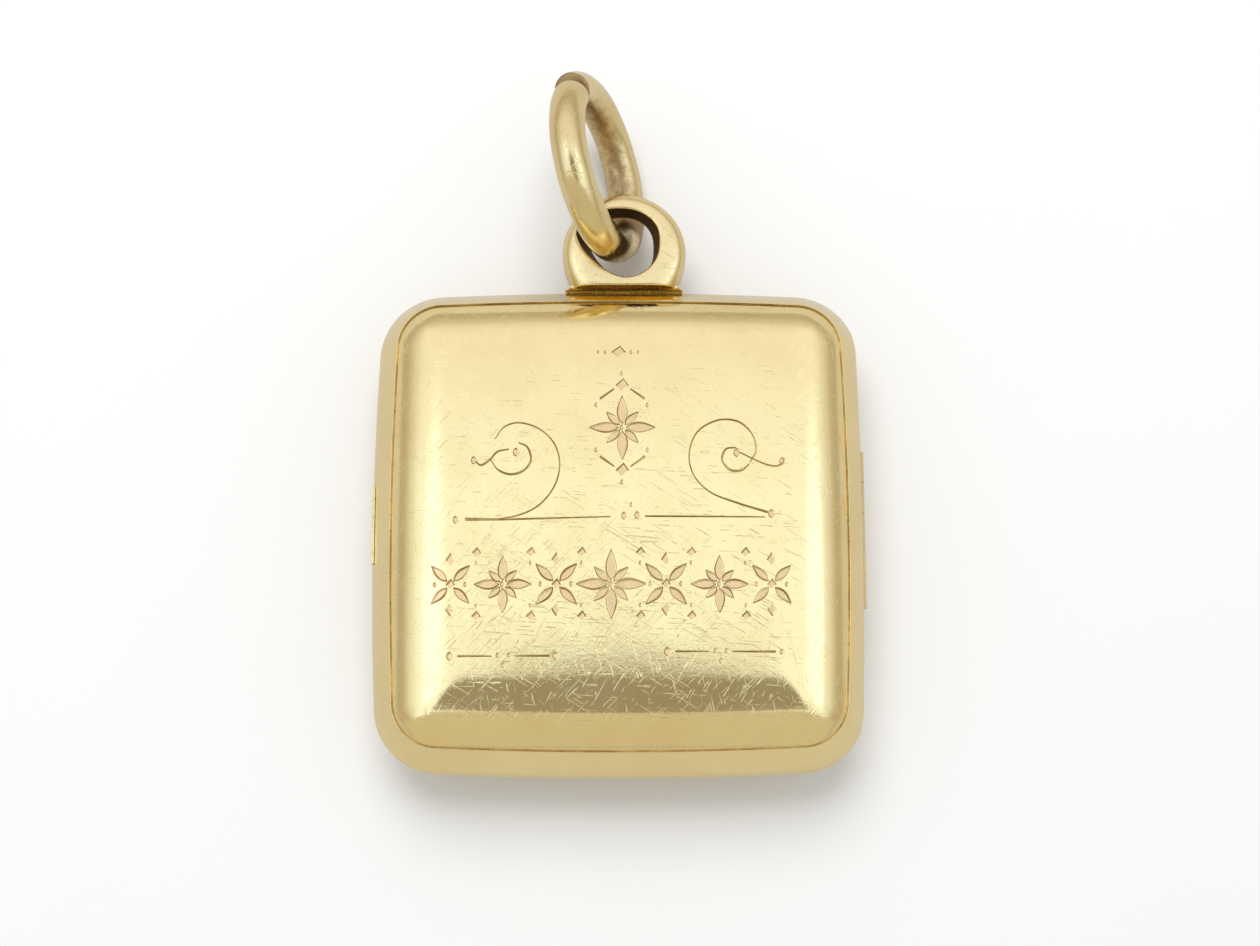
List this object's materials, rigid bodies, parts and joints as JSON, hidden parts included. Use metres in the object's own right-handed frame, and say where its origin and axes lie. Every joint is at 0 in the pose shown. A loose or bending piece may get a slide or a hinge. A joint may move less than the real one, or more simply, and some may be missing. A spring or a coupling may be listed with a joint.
{
  "type": "hinged locket",
  "caption": "Small square gold locket, pillowed engraved front hinged to a plain back, with photo frames, a soldered bail loop and a loose jump ring.",
  "frame": {"origin": "centre of the flat rest panel on the underside of the back half", "axes": "+Z out of the engraved front (up, with the locket lying on its back); +Y from the case centre towards the bail; +X towards the hinge side"},
  "size_m": [0.02, 0.0292, 0.0077],
  "materials": {
    "gold_polished": "polished gold alloy, fine hairline wear",
    "gold_satin": "satin gold alloy, worn",
    "gold_inner": "dull gold alloy, inside surfaces",
    "crystal": "clear, lightly polished",
    "picture_paper": "matte aged paper, blank",
    "velvet": "short pile pad"
  },
  "bodies": {
    "case": {"back_case": "gold_polished", "snap_bezel": "gold_inner", "case_hinge_bearer": "gold_inner", "case_knuckle_upper": "gold_satin", "case_knuckle_middle": "gold_satin", "case_knuckle_lower": "gold_satin", "hinge_pin": "gold_inner", "bail_foot": "gold_satin", "bail_loop": "gold_satin", "back_photo_frame": "gold_inner", "back_crystal": "crystal", "back_picture": "picture_paper", "back_padding": "velvet"},
    "cover": {"front_cover": "gold_polished", "thumb_lip": "gold_satin", "cover_hinge_bearer": "gold_inner", "cover_knuckle_upper": "gold_satin", "cover_knuckle_lower": "gold_satin", "front_photo_frame": "gold_inner", "front_crystal": "crystal", "front_picture": "picture_paper", "front_padding": "velvet"},
    "ring": {"jump_ring": "gold_polished"}
  },
  "joints": [
    {"name": "cover_hinge", "type": "hinge", "parent": "case", "child": "cover", "pos_m": [0.00961, 0, 0.003], "axis": [0, 1, 0], "range_deg": [0, 120]},
    {"name": "ring_swing", "type": "hinge", "parent": "case", "child": "ring", "pos_m": [0, 0.0143, 0.0033], "axis": [0.9261, 0.1419, 0.3497], "range_deg": [-90, 15]}
  ]
}
